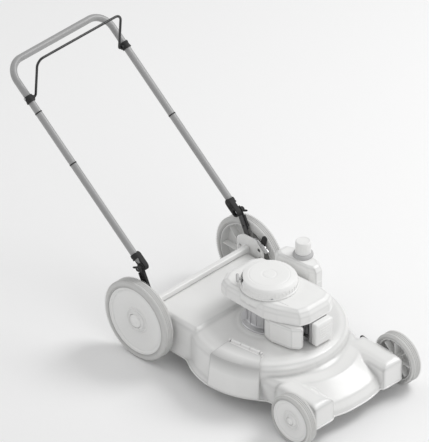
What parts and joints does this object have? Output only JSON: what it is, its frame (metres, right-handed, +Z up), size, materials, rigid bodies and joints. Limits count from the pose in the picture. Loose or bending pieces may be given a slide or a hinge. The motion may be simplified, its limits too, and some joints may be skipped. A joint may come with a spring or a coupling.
{
  "type": "push lawn mower",
  "caption": "Walk-behind rotary mower: side-discharge deck, vertical-shaft engine, high rear wheels and a U-shaped handle that folds forwards over the engine.",
  "frame": {"origin": "on the ground, under the middle of the overall length and width", "axes": "+X forwards, +Y to the operator's left, +Z up"},
  "size_m": [1.522, 0.586, 0.9235],
  "materials": {
    "deck_paint": "smooth enamel, light satin gloss",
    "white_plastic": "moulded, fine texture",
    "handle_paint": "powder coat",
    "black_plastic": "moulded, fine texture",
    "grey_plastic": "moulded, fine texture",
    "black_steel": "black powder coat",
    "tyre_rubber": "dull moulded tread",
    "wheel_plastic": "moulded",
    "bare_steel": "zinc plated",
    "cast_alloy": "as cast",
    "flap_rubber": "dull"
  },
  "bodies": {
    "root": {"deck_shell": "deck_paint", "rear_deck_box": "deck_paint", "rear_bracket_left": "deck_paint", "rear_bracket_right": "deck_paint", "rear_tie_bar": "deck_paint", "flap_rod": "bare_steel", "door_hinge_rod": "bare_steel", "handle_strap_left": "black_steel", "handle_strap_right": "black_steel", "strap_bolt_left": "bare_steel", "strap_bolt_right": "bare_steel", "pivot_bolt_left": "bare_steel", "pivot_bolt_right": "bare_steel", "rear_index_plate": "bare_steel", "engine_block": "cast_alloy", "cylinder_head": "cast_alloy", "spark_plug": "bare_steel", "engine_shroud": "white_plastic", "recoil_cover": "white_plastic", "fuel_tank": "white_plastic", "filler_collar": "grey_plastic", "oil_filler": "grey_plastic", "muffler": "bare_steel", "air_cleaner_base": "grey_plastic", "air_cleaner_cover": "white_plastic"},
    "handle": {"handle_tube": "handle_paint", "bail_bracket_left": "black_plastic", "bail_bracket_right": "black_plastic"},
    "bail": {"bail_rod": "black_steel"},
    "knob_left": {"wing_knob_left": "black_plastic"},
    "knob_right": {"wing_knob_right": "black_plastic"},
    "rear_axle_arm": {"rear_axle": "bare_steel", "rear_height_lever": "bare_steel", "rear_lever_knob": "black_plastic"},
    "front_axle_arm": {"front_axle": "bare_steel", "front_height_lever": "bare_steel", "front_lever_knob": "black_plastic"},
    "door": {"discharge_door": "deck_paint"},
    "flap": {"rear_flap": "flap_rubber"},
    "rotor": {"crankshaft": "bare_steel", "flywheel": "cast_alloy", "blade_adapter": "cast_alloy", "blade": "bare_steel", "blade_bolt": "bare_steel"},
    "pulley": {"recoil_pulley": "black_plastic"},
    "grip": {"starter_grip": "grey_plastic"},
    "cap_of_fuel": {"fuel_cap": "white_plastic"},
    "cap_of_oil": {"oil_cap": "grey_plastic"},
    "rear_left_roller": {"rear_left_tyre": "tyre_rubber", "rear_left_wheel": "wheel_plastic", "rear_left_hub_cap": "wheel_plastic"},
    "rear_right_roller": {"rear_right_tyre": "tyre_rubber", "rear_right_wheel": "wheel_plastic", "rear_right_hub_cap": "wheel_plastic"},
    "front_left_roller": {"front_left_tyre": "tyre_rubber", "front_left_wheel": "wheel_plastic", "front_left_hub_cap": "wheel_plastic"},
    "front_right_roller": {"front_right_tyre": "tyre_rubber", "front_right_wheel": "wheel_plastic", "front_right_hub_cap": "wheel_plastic"}
  },
  "joints": [
    {"name": "handle_fold", "type": "hinge", "parent": "root", "child": "handle", "pos_m": [-0.08792, 0, 0.341], "axis": [0, 1, 0], "range_deg": [0, 142]},
    {"name": "bail_close", "type": "hinge", "parent": "handle", "child": "bail", "pos_m": [-0.63712, 0, 0.76854], "axis": [0, -1, 0], "range_deg": [0, 47], "stiffness_Nm_per_rad": 0.8, "springref_deg": -28.65},
    {"name": "knob_left_turn", "type": "hinge", "parent": "root", "child": "knob_left", "pos_m": [-0.08792, 0.2476, 0.341], "axis": [0, 1, 0], "range_deg": [0, 360]},
    {"name": "knob_right_turn", "type": "hinge", "parent": "root", "child": "knob_right", "pos_m": [-0.08792, -0.2476, 0.341], "axis": [0, -1, 0], "range_deg": [0, 360]},
    {"name": "rear_height", "type": "hinge", "parent": "root", "child": "rear_axle_arm", "pos_m": [-0.00992, 0, 0.165], "axis": [0, 1, 0], "range_deg": [-18, 14]},
    {"name": "front_height", "type": "hinge", "parent": "root", "child": "front_axle_arm", "pos_m": [0.61508, 0, 0.107], "axis": [0, -1, 0], "range_deg": [-18, 14]},
    {"name": "rear_left_spin", "type": "hinge", "parent": "rear_axle_arm", "child": "rear_left_roller", "pos_m": [-0.06492, 0.2705, 0.152], "axis": [0, 1, 0], "continuous": true},
    {"name": "rear_right_spin", "type": "hinge", "parent": "rear_axle_arm", "child": "rear_right_roller", "pos_m": [-0.06492, -0.2705, 0.152], "axis": [0, 1, 0], "continuous": true},
    {"name": "front_left_spin", "type": "hinge", "parent": "front_axle_arm", "child": "front_left_roller", "pos_m": [0.66608, 0.2535, 0.095], "axis": [0, 1, 0], "continuous": true},
    {"name": "front_right_spin", "type": "hinge", "parent": "front_axle_arm", "child": "front_right_roller", "pos_m": [0.66608, -0.2535, 0.095], "axis": [0, 1, 0], "continuous": true},
    {"name": "door_open", "type": "hinge", "parent": "root", "child": "door", "pos_m": [0.36308, -0.182, 0.2075], "axis": [-0.9902, -0.1395, 0], "range_deg": [0, 80], "stiffness_Nm_per_rad": 0.35, "springref_deg": -20.05},
    {"name": "flap_swing", "type": "hinge", "parent": "root", "child": "flap", "pos_m": [-0.05492, 0, 0.176], "axis": [0, 1, 0], "range_deg": [0, 75]},
    {"name": "crank_spin", "type": "hinge", "parent": "root", "child": "rotor", "pos_m": [0.29508, 0, 0.2], "axis": [0, 0, 1], "continuous": true},
    {"name": "starter_pull", "type": "slide", "parent": "root", "child": "grip", "axis": [-0.6211, -0.6612, 0.4208], "range_m": [0, 0.045], "stiffness_N_per_m": 60, "springref_m": -0.02},
    {"name": "recoil_turn", "type": "hinge", "parent": "root", "child": "pulley", "pos_m": [0.29508, 0, 0.328], "axis": [0, 0, 1], "range_deg": [0, 62]},
    {"name": "fuel_cap_turn", "type": "hinge", "parent": "root", "child": "cap_of_fuel", "pos_m": [0.28308, 0.176, 0.4], "axis": [0, 0, 1], "range_deg": [0, 90]},
    {"name": "oil_cap_turn", "type": "hinge", "parent": "root", "child": "cap_of_oil", "pos_m": [0.23508, 0.102, 0.26], "axis": [0, 0, 1], "range_deg": [0, 90]}
  ],
  "couplings": [
    {"joint": "recoil_turn", "follows": "starter_pull", "rad_per_m": 23.8}
  ]
}
